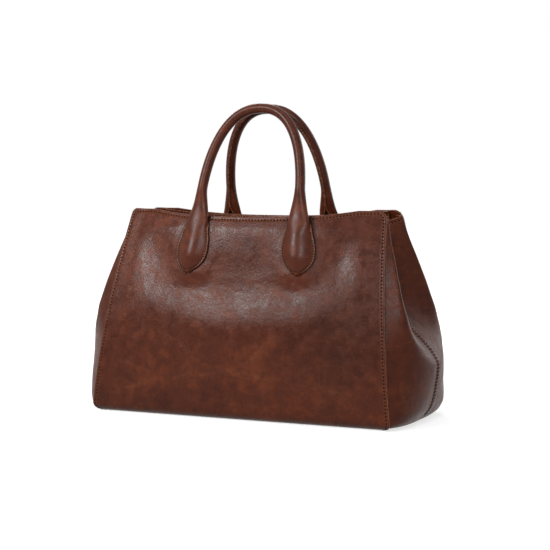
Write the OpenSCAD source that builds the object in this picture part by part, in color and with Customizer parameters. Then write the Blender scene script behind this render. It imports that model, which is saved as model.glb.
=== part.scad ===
// Soft leather tote with two rolled handles, folded side gussets and an open mouth.
// Millimetres. +X right, -Y front, +Z up. The origin is the middle of the base, on the floor.

/* [Body] */
// Width of the front and back panels at the base
base_w = 354; // [330:1:380]
// Depth of the bag at the base
base_d = 154; // [140:1:170]
// Width of the panels at the rim
rim_w = 306; // [290:1:320]
// Depth of the mouth between the rim corners
corner_d = 44; // [36:1:56]
// Depth of the mouth in the middle, where the panels bow out
mouth_d = 72; // [66:1:84]
// Height of the rim at its corners
body_h = 225; // [210:1:240]
// How far the rim sags in the middle
rim_sag = 7.5; // [2:0.5:12]
// Depth of the soft hollow below the rim of each panel
hollow_depth = 5.8; // [0:0.1:7]
// Width of the soft hollow
hollow_w = 282; // [250:1:300]
// Radius of the panel corners at the rim
rim_r = 11; // [6:1:14]
// Radius of the panel corners at the base
base_r = 9; // [5:1:12]
// Radius at which the panels turn under the base
fold_r = 11; // [8:1:16]

/* [Gussets] */
// How far the gussets bulge past the panel edges at the base
gusset_bulge = 25.5; // [18:0.5:32]
// How far the gussets fold in at the rim
gusset_fold = 59; // [40:1:70]
// How far the rim of a gusset dips at its fold
gusset_dip = 8; // [2:1:14]

/* [Leather] */
// Thickness of the panel leather
panel_t = 1.8; // [1.2:0.1:2.4]
// Thickness of the gusset leather
gusset_t = 1.4; // [1:0.1:1.8]
// Thickness of the leather facing inside the rim
facing_t = 1.2; // [0.8:0.1:1.6]
// Height of the leather facing inside the rim
facing_h = 36; // [32:1:44]
// Thickness of the cloth lining
lining_t = 0.7; // [0.5:0.1:1]
// Lap of the gusset leather under the panel edge
seam_lap = 8; // [6:0.5:11]
// Thickness of the stiff board in the base
board_t = 2.5; // [1.5:0.5:4]

/* [Handles] */
// Height of the top of the handles above the rim corners
handle_rise = 116; // [96:1:134]
// Distance between the two legs of a handle at the rim
handle_spread = 118.4; // [100:0.2:130]
// Diameter of a rolled handle
handle_d = 11; // [10:0.5:13]
// Lean of the handles towards the middle, in degrees
handle_lean = 16.7; // [14:0.1:18]
// Distance of the handle centre from the middle plane at the rim
handle_y = 43; // [42:0.5:46]
// Distance of the pointed tip of a tab below the rim corners
tab_reach = 68; // [60:1:84]
// Distance below the rim corners at which the tab stops being stitched down
tab_free = 20; // [17:1:26]
// Greatest width of a tab
tab_w = 37; // [30:1:42]
// Distance between the tips of the two tabs on one side
tab_tip_spread = 130.4; // [118:0.2:140]
// Thickness of the leather rolled round the handle filler
wrap_t = 1.3; // [1:0.1:1.6]

/* [Closure] */
// Diameter of the magnetic snap
snap_d = 18; // [14:1:20]
// Thickness of each half of the snap
snap_t = 2.4; // [2:0.1:3]

/* [Hidden] */

// Colours
leather = [0.30, 0.13, 0.09];
edge_leather = [0.22, 0.09, 0.07];
cloth = [0.20, 0.16, 0.14];
board_grey = [0.45, 0.42, 0.38];
rope = [0.17, 0.11, 0.09];
nickel = [0.75, 0.74, 0.70];

// Clearances
layer_gap = 0.35;
lining_gap = 0.75;
seam_gap = 0.3;
pivot_gap = 0.4;
core_gap = 0.15;

// Outline of the body
base_half_w = base_w / 2;
base_half_d = base_d / 2;
rim_half_w = rim_w / 2;
corner_half_d = corner_d / 2;
mouth_half_d = mouth_d / 2;
edge_power = 1.85;
middle_power = 3;
bow_power = 2.2;
sag_power = 2.6;
sag_reach_share = 0.88;
hollow_centre_share = 0.933;
hollow_height_share = 0.4;
hollow_soft_share = 0.45;
hollow_start_share = 0.66;
hollow_facing_share = 0.67;
hollow_edge_share = 0.19;
tab_hold_share = 0.85;
tab_hold_reach_share = 0.62;

function blend_to(a, b, t) = a + (b - a) * t;
function smooth(t) = let (c = max(0, min(1, t))) c * c * (3 - 2 * c);
function unit(v) = v / norm(v);

// Half width of a panel at height z, and its distance from the middle plane
function foot_drop(z) = z < base_r ? base_r - sqrt(base_r * base_r - pow(base_r - max(z, 0), 2)) : 0;
function panel_half_w(z) = blend_to(base_half_w, rim_half_w, z / body_h) - foot_drop(z);
function edge_y(z) = base_half_d - (base_half_d - corner_half_d) * pow(max(z, 0) / body_h, edge_power);
function middle_y(z) = base_half_d - (base_half_d - mouth_half_d) * pow(max(z, 0) / body_h, middle_power);
function hollow(s, z) =
    let (
        x = s * panel_half_w(z),
        reach = norm([x / (hollow_w / 2), (z / body_h - hollow_centre_share) / hollow_height_share]),
        inside = smooth((1 + hollow_soft_share / 2 - reach) / hollow_soft_share),
        end_z = body_h - rim_sag - hollow_facing_share * facing_h,
        below_rim = smooth((end_z - z) / (end_z - hollow_start_share * body_h)),
        off_edge = smooth((1 - min(abs(s), 1)) / hollow_edge_share),
        off_tab = (abs(x) - tab_axis_x(z)) / (tab_hold_reach_share * tab_w),
        held = 1 - tab_hold_share * exp(-off_tab * off_tab)
    )
    hollow_depth * inside * below_rim * off_edge * held;
function panel_y(s, z) =
    blend_to(middle_y(z), edge_y(z), pow(min(abs(s), 1), bow_power)) - hollow(s, z);

// Height of the rim at the share s of the half width
function corner_drop(x) =
    let (over = abs(x) - (rim_half_w - rim_r))
    over > 0 ? rim_r - sqrt(max(0, rim_r * rim_r - over * over)) : 0;
function rim_z(s) =
    let (lift = min(1, abs(s) / sag_reach_share))
    body_h - rim_sag * (1 - pow(lift, sag_power)) - corner_drop(s * rim_half_w);

// Point of the front panel's outer face: s across, u up the wall from the fold to the rim
function wall_point(s, u) =
    let (z = blend_to(fold_r, rim_z(s), u))
    [s * panel_half_w(z), -panel_y(s, z), z];
function fold_point(s, a) =
    let (z = fold_r * (1 - sin(a)))
    [s * panel_half_w(z), -panel_y(s, fold_r) + fold_r * (1 - cos(a)), z];

// Shares that place the rows and columns of the leather sheets
right_shares = [0.1, 0.2, 0.27, 0.34, 0.41, 0.48, 0.56, 0.66, 0.77, 0.87, 0.95, 0.985, 1];
across_shares = concat([for (k = [len(right_shares) - 1 : -1 : 0]) -right_shares[k]], [0], right_shares);
wall_shares = [0, 0.1, 0.22, 0.34, 0.46, 0.57, 0.67, 0.76, 0.84, 0.91, 0.96, 1];
fold_steps = 4;

function panel_grid() = concat(
    [[for (s = across_shares) [s * panel_half_w(0), -seam_gap / 2, 0]]],
    [for (k = [0 : fold_steps - 1]) [for (s = across_shares) fold_point(s, 90 * (1 - k / fold_steps))]],
    [for (u = wall_shares) [for (s = across_shares) wall_point(s, u)]]);

// Surface normals of a grid of points, positive towards the inside of the bag
function grid_normal(g, i, j) =
    let (
        up = g[min(i + 1, len(g) - 1)][j] - g[max(i - 1, 0)][j],
        right = g[i][min(j + 1, len(g[0]) - 1)] - g[i][max(j - 1, 0)]
    )
    unit(cross(up, right));
function sunk_grid(g, depth) =
    [for (i = [0 : len(g) - 1]) [for (j = [0 : len(g[0]) - 1]) g[i][j] + depth * grid_normal(g, i, j)]];
function join_rows(g) = [for (row = g) each row];

// Two triangles of a four-cornered face, split along one diagonal or the other
function quad(p, q, r, s, turned = false) = turned ? [[p, q, s], [q, r, s]] : [[p, q, r], [p, r, s]];

// A closed solid between two grids of points. A tube wraps its columns round, and from the
// column turn_at on the faces split along the other diagonal, as in a mirrored half.
module sheet(outer, inner, wraps = false, turn_at = 1000) {
    rows = len(outer) - 1;
    cols = len(outer[0]);
    last = wraps ? cols - 1 : cols - 2;
    shift = cols * len(outer);
    next = function (j) (j + 1) % cols;
    at = function (i, j) i * cols + j;
    in = function (i, j) shift + i * cols + j;
    faces = concat(
        [for (i = [0 : rows - 1], j = [0 : last])
            each quad(at(i, j), at(i + 1, j), at(i + 1, next(j)), at(i, next(j)), j >= turn_at)],
        [for (i = [0 : rows - 1], j = [0 : last])
            each quad(in(i, j), in(i, next(j)), in(i + 1, next(j)), in(i + 1, j), j >= turn_at)],
        [for (j = [0 : last]) each quad(at(0, j), at(0, next(j)), in(0, next(j)), in(0, j))],
        [for (j = [0 : last]) each quad(at(rows, next(j)), at(rows, j), in(rows, j), in(rows, next(j)))],
        wraps ? [] : [for (i = [0 : rows - 1]) each quad(at(i + 1, 0), at(i, 0), in(i, 0), in(i + 1, 0))],
        wraps ? [] : [for (i = [0 : rows - 1])
            each quad(at(i, last + 1), at(i + 1, last + 1), in(i + 1, last + 1), in(i, last + 1))]
    );
    polyhedron(points = concat(join_rows(outer), join_rows(inner)), faces = faces);
}

// A solid bar swept through rings of points
module bar(rings) {
    rows = len(rings) - 1;
    cols = len(rings[0]);
    faces = concat(
        [for (i = [0 : rows - 1], j = [0 : cols - 1]) let (a = i * cols, k = (j + 1) % cols)
            each quad(a + j, a + cols + j, a + cols + k, a + k)],
        [[for (j = [0 : cols - 1]) j]],
        [[for (j = [0 : cols - 1]) rows * cols + cols - 1 - j]]
    );
    polyhedron(points = join_rows(rings), faces = faces);
}

// The panel runs from the seam under the base, round the fold and up to the rim
module panel() {
    outer = panel_grid();
    inner = sunk_grid(outer, panel_t);
    level = [for (i = [0 : len(inner) - 1]) [for (p = inner[i]) i == 0 ? [p.x, -seam_gap / 2, panel_t] : p]];
    color(leather)
        sheet(outer, level);
}

// Part of the wall, sunk below its outer face
function wall_patch(depth, thickness, s_list, z_list) =
    let (
        outer = [for (z = z_list) [for (s = s_list) [s * panel_half_w(z), -panel_y(s, z), z]]]
    )
    [sunk_grid(outer, depth), sunk_grid(outer, depth + thickness)];

interlining_gap = 0.9;
facing_depth = panel_t + interlining_gap;
inner_limit_share = 0.9;
inner_shares = [for (s = across_shares) if (abs(s) < inner_limit_share) s];
rim_inset = 1;
module facing() {
    low_u = 1 - facing_h / (body_h - fold_r);
    outer = [for (t = [0 : 0.25 : 1]) [for (s = inner_shares)
        wall_point(s, blend_to(low_u, 1, t)) - [0, 0, rim_inset]]];
    color(leather)
        sheet(sunk_grid(outer, facing_depth), sunk_grid(outer, facing_depth + facing_t));
}

// Lining of one panel, hung behind the facing's lower edge and turned in over the board
lining_depth = max(facing_depth + facing_t, panel_t + layer_gap + gusset_t) + lining_gap;
lining_lap = 6;
lining_steps = 8;
lining_foot = fold_r + lining_gap;
module panel_lining() {
    top_z = body_h - rim_sag - facing_h + lining_lap;
    z_list = [for (k = [0 : lining_steps]) blend_to(lining_foot, top_z, k / lining_steps)];
    layers = wall_patch(lining_depth, lining_t, inner_shares, z_list);
    color(cloth)
        sheet(layers[0], layers[1]);
}

// Gusset stations: height, then where the centre seam stands (out as a share of the bulge, in as a
// share of the fold), and the pull of the section at the panel edge and at the seam, as shares of
// half the base depth
gusset_shares = [
    [0.00, 0.23, 0.00, 0.10, 0.20, 0.010, 0.45],
    [0.012, 0.34, 0.00, 0.14, 0.20, 0.016, 0.45],
    [0.03, 0.45, 0.00, 0.19, 0.19, 0.025, 0.46],
    [0.07, 0.67, 0.00, 0.25, 0.19, 0.040, 0.46],
    [0.12, 0.80, 0.00, 0.26, 0.19, 0.045, 0.46],
    [0.18, 0.90, 0.00, 0.25, 0.19, 0.030, 0.46],
    [0.24, 0.98, 0.00, 0.24, 0.20, 0.010, 0.46],
    [0.285, 1.00, 0.00, 0.24, 0.20, 0.015, 0.46],
    [0.32, 0.88, 0.00, 0.27, 0.22, 0.060, 0.48],
    [0.36, 0.64, 0.00, 0.32, 0.24, 0.120, 0.52],
    [0.405, 0.28, 0.00, 0.38, 0.22, 0.190, 0.58],
    [0.46, 0.00, 0.09, 0.42, 0.18, 0.260, 0.64],
    [0.53, 0.00, 0.30, 0.42, 0.14, 0.340, 0.68],
    [0.61, 0.00, 0.50, 0.36, 0.12, 0.420, 0.68],
    [0.70, 0.00, 0.64, 0.28, 0.11, 0.460, 0.62],
    [0.80, 0.00, 0.76, 0.20, 0.10, 0.440, 0.50],
    [0.90, 0.00, 0.88, 0.11, 0.08, 0.380, 0.36],
    [1.00, 0.00, 1.00, 0.04, 0.05, 0.280, 0.22]
];
gusset_steps = 9;
gusset_depth = panel_t + layer_gap;
gusset_foot = gusset_depth;

function station(h, column) = lookup(h, [for (row = gusset_shares) [row[0], row[column]]]);
function seam_x(h) = base_half_w + gusset_bulge * station(h, 1) - gusset_fold * station(h, 2);
function bezier(a, b, c, d, t) =
    pow(1 - t, 3) * a + 3 * pow(1 - t, 2) * t * b + 3 * (1 - t) * t * t * c + pow(t, 3) * d;

// How far inside the wall the gusset lies at height z, following the fold of the panel
function tuck(z) =
    z < fold_r ? fold_r - sqrt(max(0, pow(fold_r - gusset_depth, 2) - pow(fold_r - z, 2))) : gusset_depth;

// Heights on the gusset: its rim dips from the panel corner to the fold
function gusset_z(h, t) =
    let (top = body_h - rim_r / 2 - gusset_dip * smooth(t))
    blend_to(gusset_foot, top, h);

// Outer face of the front right gusset half, t from the panel edge to the centre seam
function gusset_point(h, t) =
    let (
        z = gusset_z(h, t),
        edge = [panel_half_w(z), edge_y(max(z, fold_r)) - tuck(z)],
        seam = [seam_x(h), seam_gap / 2],
        pull = base_half_d,
        p = bezier(edge, edge + pull * [station(h, 3), -station(h, 4)],
            seam + pull * [station(h, 5), station(h, 6)], seam, t)
    )
    [p.x, -p.y, z];

// The lap under the panel edge, and the foot turned in over the leather of the base
function lap_point(h) =
    let (z = gusset_z(h, 0), x = panel_half_w(z) - seam_lap)
    [x, -panel_y(x / panel_half_w(z), max(z, fold_r)) + tuck(z), z];
function gusset_row(h) = concat(
    [lap_point(h)],
    [for (k = [0 : gusset_steps]) gusset_point(h, k / gusset_steps)]);
function gusset_grid() = concat(
    [[for (p = gusset_row(0)) [panel_half_w(0) - seam_lap, p.y, gusset_foot]]],
    [for (row = gusset_shares) gusset_row(row[0])]);

// At the centre seam the two halves meet in a mitre
least_mitre_share = 0.45;
function mitre(g, i, depth) =
    let (seam = len(g[0]) - 1, n = grid_normal(g, i, seam), p = g[i][seam])
    [p.x - depth / max(least_mitre_share, abs(n.x)), p.y, p.z + depth * n.z];

// The inner face never crosses the seam plane or the leather of the base
function kept_clear(p, floor_z) = [p.x, min(p.y, -seam_gap / 2), max(p.z, floor_z)];
function gusset_inner(g, depth) =
    let (sunk = sunk_grid(g, depth), seam = len(g[0]) - 1)
    [for (i = [0 : len(g) - 1]) [for (j = [0 : seam])
        kept_clear(j == seam ? mitre(g, i, depth) : sunk[i][j], i < 2 ? gusset_foot + depth : gusset_foot)]];

module gusset_half() {
    outer = gusset_grid();
    color(leather)
        sheet(outer, gusset_inner(outer, gusset_t));
}

// Lining of one gusset, both halves in one piece
lining_low_share = 0.06;
module gusset_lining() {
    grid = gusset_grid();
    first = len([for (row = gusset_shares) if (row[0] < lining_low_share) row]) + 1;
    seam = gusset_steps + 1;
    layer = function (depth) let (sunk = sunk_grid(grid, depth))
        [for (i = [first : len(grid) - 1]) concat(
            [for (j = [2 : gusset_steps]) sunk[i][j]],
            [[mitre(grid, i, depth).x, 0, mitre(grid, i, depth).z]],
            [for (j = [gusset_steps : -1 : 2]) [sunk[i][j].x, -sunk[i][j].y, sunk[i][j].z]])];
    depth = gusset_t + lining_gap;
    color(cloth)
        sheet(layer(depth), layer(depth + lining_t), turn_at = seam - 2);
}

// Base: a board over the turned-in leather, and the lining over the board
board_lift = panel_t + layer_gap + gusset_t + layer_gap;
board_margin = 4;
board_inset = seam_lap + board_margin;
board_r = 12;
module base_plate(half_w, half_d, thickness, radius) {
    linear_extrude(thickness)
        hull()
            for (x = [-1, 1], y = [-1, 1])
                translate([x * (half_w - radius), y * (half_d - radius)])
                    circle(r = radius, $fn = 32);
}
board_half_w = base_half_w - board_inset;
board_half_d = base_half_d - fold_r;
module base_board() {
    color(board_grey)
        translate([0, 0, board_lift])
            base_plate(board_half_w, board_half_d, board_t, board_r);
}
module base_lining() {
    color(cloth)
        translate([0, 0, board_lift + board_t + layer_gap])
            base_plate(board_half_w, board_half_d, lining_t, board_r);
}

// Tabs: the stitched feet of the handles, domed over the filler
lean_up = [0, sin(handle_lean), cos(handle_lean)];
lean_out = [0, -cos(handle_lean), sin(handle_lean)];
tab_top_width_share = 0.83;
tab_width_shares = [[0, 0.02], [0.06, 0.36], [0.14, 0.62], [0.26, 0.86], [0.40, 0.99], [0.52, 1],
    [0.68, 0.96], [0.84, 0.9], [1, tab_top_width_share]];
tab_columns = 8;
tab_edge_t = 1.9;
tab_tip_crown = 0.5;
tab_top_crown = 4.6;
tab_tip_z = body_h - tab_reach;
tab_top_z = body_h - tab_free;
tab_slope = (tab_tip_spread - handle_spread) / 2 / tab_reach;
tab_length = tab_top_z - tab_tip_z;

function tab_axis_x(z) = handle_spread / 2 + tab_slope * (body_h - z);
function tab_half_w(k) = tab_w / 2 * lookup(k, tab_width_shares);
function surface_point(x, z, lift) = [x, -panel_y(x / panel_half_w(z), z) - lift, z];
function tab_crown(k) = blend_to(tab_tip_crown, tab_top_crown, sqrt(k));
function tab_base(k, c) =
    let (z = tab_tip_z + tab_length * k - tab_top_crown * sin(handle_lean) * k)
    surface_point(tab_axis_x(z) + c * tab_half_w(k), z, layer_gap);
function tab_face(k, c) = tab_base(k, c) + lean_out * (tab_edge_t + tab_crown(k) * (1 - c * c));

module tab() {
    across = [for (j = [0 : tab_columns]) 2 * j / tab_columns - 1];
    low = [for (row = tab_width_shares) [for (c = across) tab_base(row[0], c)]];
    high = [for (row = tab_width_shares) [for (c = across) tab_face(row[0], c)]];
    color(edge_leather)
        sheet(high, low);
}

// Reinforcement behind the foot of each tab, inside the panel and below the facing
patch_inset = 3;
patch_t = 1;
patch_seat = 0.5;
patch_low_share = 0.1;
module patch() {
    half = tab_w / 2 - patch_inset;
    top_z = body_h - rim_sag - facing_h - patch_inset;
    z_list = [for (t = [0 : 0.25 : 1]) blend_to(blend_to(tab_tip_z, tab_top_z, patch_low_share), top_z, t)];
    outer = [for (z = z_list) [for (c = [-1 : 0.5 : 1]) surface_point(tab_axis_x(z) + c * half, z, 0)]];
    color(board_grey)
        sheet(sunk_grid(outer, panel_t + patch_seat), sunk_grid(outer, panel_t + patch_seat + patch_t));
}

// Handles: a leather roll over a rope, in a plane that leans to the middle of the bag
arch_power = 2.3;
arch_steps = 24;
leg_shares = [0, 0.3, 0.65];
ring_sides = 12;
apex_z = body_h + handle_rise - handle_d / 2;
pivot_z = tab_top_z + pivot_gap / 2;
handle_centre_y = function (z) handle_y - (z - body_h) * tan(handle_lean);
flat_half_w = tab_w / 2 * tab_top_width_share;
flat_half_t = (tab_edge_t + tab_top_crown) / 2;
taper_h = 34;

function handle_point(x, z) = [x, -handle_centre_y(z), z];
function leg_point(side, share) =
    let (z = blend_to(tab_top_z + pivot_gap, body_h, share))
    handle_point(side * tab_axis_x(z), z);
function arch_point(a) =
    let (
        x = handle_spread / 2 * pow(abs(cos(a)), 2 / arch_power) * sign(cos(a)),
        z = blend_to(body_h, apex_z, pow(abs(sin(a)), 2 / arch_power))
    )
    handle_point(x, z);
handle_path = concat(
    [for (t = leg_shares) leg_point(-1, t)],
    [for (k = [0 : arch_steps]) arch_point(180 * (1 - k / arch_steps))],
    [for (k = [len(leg_shares) - 1 : -1 : 0]) leg_point(1, leg_shares[k])]);

function path_tangent(k) = unit(handle_path[min(k + 1, len(handle_path) - 1)] - handle_path[max(k - 1, 0)]);
function taper(z) = smooth((z - tab_top_z) / taper_h);
function handle_ring(k, inset) =
    let (
        p = handle_path[k],
        side = k == 0 || k == len(handle_path) - 1
            ? [sign(p.x), 0, 0]
            : cross(lean_out, path_tangent(k)),
        half_w = blend_to(flat_half_w, handle_d / 2, taper(p.z)) - inset,
        half_t = blend_to(flat_half_t, handle_d / 2, taper(p.z)) - inset
    )
    [for (j = [0 : ring_sides - 1]) let (a = 360 * j / ring_sides)
        p + half_w * cos(a) * side + half_t * sin(a) * lean_out];
function handle_rings(inset) = [for (k = [0 : len(handle_path) - 1]) handle_ring(k, inset)];

module handle_wrap() {
    color(leather)
        sheet(handle_rings(0), handle_rings(wrap_t), wraps = true);
}
module handle_core() {
    color(rope)
        bar(handle_rings(wrap_t + core_gap));
}

// Magnetic snap on the facings, with a washer behind the facing
snap_z = body_h - rim_sag - (facing_h - lining_lap) / 2;
snap_seat = 0.75;
washer_seat = 0.4;
snap_nub_d = 9;
snap_nub_t = 1.4;
washer_t = 0.4;
washer_margin = 1;
washer_d = snap_d - 2 * washer_margin;
snap_tilt = atan2(panel_y(0, snap_z - snap_d / 2) - panel_y(0, snap_z + snap_d / 2), snap_d);
module on_facing(depth) {
    translate([0, -panel_y(0, snap_z), snap_z])
        rotate([-90 - snap_tilt, 0, 0])
            translate([0, 0, depth])
                children();
}
facing_back = facing_depth + facing_t;
module snap_body(nub) {
    color(nickel)
        on_facing(facing_back + snap_seat) {
            cylinder(d = snap_d, h = snap_t, $fn = 48);
            if (nub)
                translate([0, 0, snap_t])
                    cylinder(d = snap_nub_d, h = snap_nub_t, $fn = 48);
        }
}
module snap_socket() {
    color(nickel)
        on_facing(facing_back + snap_seat)
            difference() {
                cylinder(d = snap_d, h = snap_t, $fn = 48);
                translate([0, 0, snap_t - snap_nub_t])
                    cylinder(d = snap_nub_d + seam_gap, h = snap_nub_t + seam_gap, $fn = 48);
            }
}
module washer() {
    color(nickel)
        on_facing(panel_t + washer_seat)
            cylinder(d = washer_d, h = washer_t, $fn = 48);
}

module to_back() { mirror([0, 1, 0]) children(); }
module to_left() { mirror([1, 0, 0]) children(); }

panel();  // front_panel
to_back() panel();  // back_panel
gusset_half();  // right_gusset_front
to_back() gusset_half();  // right_gusset_rear
to_left() gusset_half();  // left_gusset_front
to_left() to_back() gusset_half();  // left_gusset_rear
facing();  // front_facing
to_back() facing();  // back_facing
panel_lining();  // front_lining
to_back() panel_lining();  // back_lining
gusset_lining();  // right_lining
to_left() gusset_lining();  // left_lining
base_lining();
base_board();
tab();  // front_right_tab
to_left() tab();  // front_left_tab
to_back() tab();  // rear_right_tab
to_left() to_back() tab();  // rear_left_tab
patch();  // front_right_patch
to_left() patch();  // front_left_patch
to_back() patch();  // rear_right_patch
to_left() to_back() patch();  // rear_left_patch
handle_wrap();  // front_handle_wrap
handle_core();  // front_handle_core
to_back() handle_wrap();  // rear_handle_wrap
to_back() handle_core();  // rear_handle_core
snap_body(true);  // front_snap
to_back() snap_socket();  // rear_snap
washer();  // front_snap_washer
to_back() washer();  // rear_snap_washer
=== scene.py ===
import math

import bpy
import numpy as np
from mathutils import Matrix


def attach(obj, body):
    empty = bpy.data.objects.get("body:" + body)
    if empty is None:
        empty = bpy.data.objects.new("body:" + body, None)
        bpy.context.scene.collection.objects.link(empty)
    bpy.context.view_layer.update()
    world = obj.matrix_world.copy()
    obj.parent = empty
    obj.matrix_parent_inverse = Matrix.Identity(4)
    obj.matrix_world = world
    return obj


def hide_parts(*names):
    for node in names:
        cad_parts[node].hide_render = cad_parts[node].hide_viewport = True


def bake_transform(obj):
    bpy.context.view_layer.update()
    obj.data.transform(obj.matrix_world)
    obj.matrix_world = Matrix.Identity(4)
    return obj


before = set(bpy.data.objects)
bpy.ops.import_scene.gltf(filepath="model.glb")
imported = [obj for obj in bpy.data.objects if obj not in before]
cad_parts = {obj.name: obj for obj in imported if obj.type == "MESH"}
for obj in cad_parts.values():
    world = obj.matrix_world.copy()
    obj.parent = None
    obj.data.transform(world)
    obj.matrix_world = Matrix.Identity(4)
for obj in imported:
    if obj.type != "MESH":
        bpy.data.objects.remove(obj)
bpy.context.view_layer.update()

# Sizes in millimetres: +X right, -Y front, +Z up. Most are the same as in the part's source. The
# tabs here are wider and fuller, and the hollow, rim corners and necks have sizes of their own
MM = 0.001
BASE_HALF_W, RIM_HALF_W, BASE_HALF_D = 177.0, 153.0, 77.0
CORNER_HALF_D, MOUTH_HALF_D, BODY_H, RIM_SAG = 22.0, 36.0, 225.0, 7.5
RIM_R, BASE_R, FOLD_R = 11.0, 9.0, 11.0
EDGE_POWER, MIDDLE_POWER, BOW_POWER, SAG_POWER, SAG_REACH = 1.85, 3.0, 2.2, 2.6, 0.88
GUSSET_BULGE, GUSSET_FOLD, GUSSET_DIP, SEAM_LAP = 25.5, 59.0, 8.0, 8.0
PANEL_T, GUSSET_T, FACING_T, LINING_T = 1.8, 1.4, 1.2, 0.7
FACING_H, FACING_DEPTH, LINING_DEPTH, LINING_GAP = 36.0, 2.7, 4.65, 0.75
LAYER_GAP, SEAM_GAP = 0.35, 0.3
HANDLE_SPREAD, HANDLE_R, HANDLE_Y, HANDLE_TOP = 118.4, 5.5, 43.0, 335.5
HANDLE_LEAN = math.radians(16.7)
TAB_TIP_Z, TAB_TOP_Z, TAB_HALF_W, TAB_SLOPE = 157.0, 205.0, 19.3, 6.0 / 68
TAB_EDGE_T, TAB_CROWN, WRAP_T = 1.9, 5.2, 1.3
STITCH_PITCH = 3.7


def lerp(a, b, t):
    return a + (b - a) * t


def smooth(t):
    c = np.clip(t, 0, 1)
    return c * c * (3 - 2 * c)


def bump(d, width):
    return np.exp(-((d / width) ** 2))


def curve(xs, ys):
    """A smooth curve through points, which doesn't overshoot them."""
    xs, ys = np.array(xs, float), np.array(ys, float)
    d = np.diff(ys) / np.diff(xs)
    m = np.zeros_like(ys)
    total = d[:-1] + d[1:]
    same = d[:-1] * d[1:] > 0
    m[1:-1] = np.where(same, 2 * d[:-1] * d[1:] / np.where(same, total, 1), 0)
    m[0], m[-1] = d[0], d[-1]

    def at(t):
        t = np.clip(t, xs[0], xs[-1])
        k = np.clip(np.searchsorted(xs, t, side="right") - 1, 0, len(xs) - 2)
        h = xs[k + 1] - xs[k]
        s = (t - xs[k]) / h
        start = (2 * s**3 - 3 * s**2 + 1) * ys[k] + (s**3 - 2 * s**2 + s) * h * m[k]
        return start + (3 * s**2 - 2 * s**3) * ys[k + 1] + (s**3 - s**2) * h * m[k + 1]

    return at


def waves(points, size, seed):
    """Smooth random height from -1 to 1 at points, with hills about size across."""
    rng = np.random.default_rng(seed)
    total = np.zeros(points.shape[:-1])
    for _ in range(14):
        way = rng.normal(size=3)
        way /= np.linalg.norm(way)
        length = size * rng.uniform(1.3, 3.2)
        total += np.sin(points @ way * (2 * math.pi / length) + rng.uniform(0, 2 * math.pi))
    return total / 5


# Outline of the body, as in the part's source
def foot_drop(z):
    low = BASE_R - np.clip(z, 0, BASE_R)
    return BASE_R - np.sqrt(BASE_R**2 - low**2)


def half_w(z):
    return lerp(BASE_HALF_W, RIM_HALF_W, z / BODY_H) - foot_drop(z)


def edge_y(z):
    return BASE_HALF_D - (BASE_HALF_D - CORNER_HALF_D) * (np.maximum(z, 0) / BODY_H) ** EDGE_POWER


def middle_y(z):
    return BASE_HALF_D - (BASE_HALF_D - MOUTH_HALF_D) * (np.maximum(z, 0) / BODY_H) ** MIDDLE_POWER


# The soft hollow below the rim, and the tabs that hold it back
HOLLOW_DEPTH, HOLLOW_SOFT, HOLLOW_EDGE = 6.6, 0.60, 0.19
HOLLOW_HALF_W, HOLLOW_Z, HOLLOW_HALF_H = 141.0, 0.933 * BODY_H, 0.4 * BODY_H
HOLLOW_START_Z, HOLLOW_END_Z = 155.0, 213.0
HOLLOW_WALL_X, HOLLOW_WALL_W, HOLLOW_WALL_Z, HOLLOW_WALL_H = 149.0, 42.0, 125.0, 35.0
TAB_HOLD, TAB_HOLD_REACH, TAB_HOLD_Z, TAB_HOLD_H = 0.70, 22.94, 136.0, 24.0

TAB_HEIGHT_SHARES = [0, 0.06, 0.14, 0.26, 0.40, 0.54, 0.70, 0.86, 1]
TAB_WIDTH_SHARES = [0.02, 0.36, 0.62, 0.86, 0.98, 1, 0.965, 0.88, 0.79]
tab_share = curve(TAB_HEIGHT_SHARES, TAB_WIDTH_SHARES)
TAB_LENGTH = TAB_TOP_Z - TAB_TIP_Z


def tab_axis(z):
    return HANDLE_SPREAD / 2 + TAB_SLOPE * (BODY_H - z)


def tab_half(k):
    return TAB_HALF_W * np.maximum(tab_share(k), 0.06)


def past_tab(x, z):
    """Distance of panel points outside the nearest tab's outline, 0 under the tab."""
    k = (z - TAB_TIP_Z) / TAB_LENGTH
    beside = np.maximum(np.abs(np.abs(x) - tab_axis(z)) - tab_half(k), 0)
    return np.where(z > TAB_TIP_Z, beside, np.hypot(np.abs(x) - tab_axis(z), z - TAB_TIP_Z))


def panel_y(x, z):
    """Distance of the panel's outer face from the middle plane of the bag."""
    share = np.minimum(np.abs(x) / half_w(z), 1)
    reach = np.hypot(x / HOLLOW_HALF_W, (z - HOLLOW_Z) / HOLLOW_HALF_H)
    inside = smooth((1 + HOLLOW_SOFT / 2 - reach) / HOLLOW_SOFT)
    below_rim = smooth((HOLLOW_END_Z - z) / (HOLLOW_END_Z - HOLLOW_START_Z))
    tab = bump(np.abs(x) - tab_axis(z), TAB_HOLD_REACH) * smooth((z - TAB_HOLD_Z) / TAB_HOLD_H)
    walls = smooth((HOLLOW_WALL_X - np.abs(x)) / HOLLOW_WALL_W)
    walls = lerp(1, walls, smooth((z - HOLLOW_WALL_Z) / HOLLOW_WALL_H))
    walls = walls * smooth((1 - share) / HOLLOW_EDGE)
    hollow = HOLLOW_DEPTH * inside * below_rim * (1 - TAB_HOLD * tab) * walls
    return lerp(middle_y(z), edge_y(z), share**BOW_POWER) - hollow


def rim_flat(share):
    lift = np.minimum(1, np.abs(share) / SAG_REACH)
    return BODY_H - RIM_SAG * (1 - lift**SAG_POWER)


TUCK_LIMIT = 8.8


def tuck(z):
    """How far a gusset's edge lies inside the panel's outer face, more so in the base fold."""
    low = FOLD_R - np.clip(z, 0, FOLD_R)
    return FOLD_R - np.sqrt((FOLD_R - PANEL_T - LAYER_GAP) ** 2 - np.minimum(low, TUCK_LIMIT) ** 2)


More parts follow.
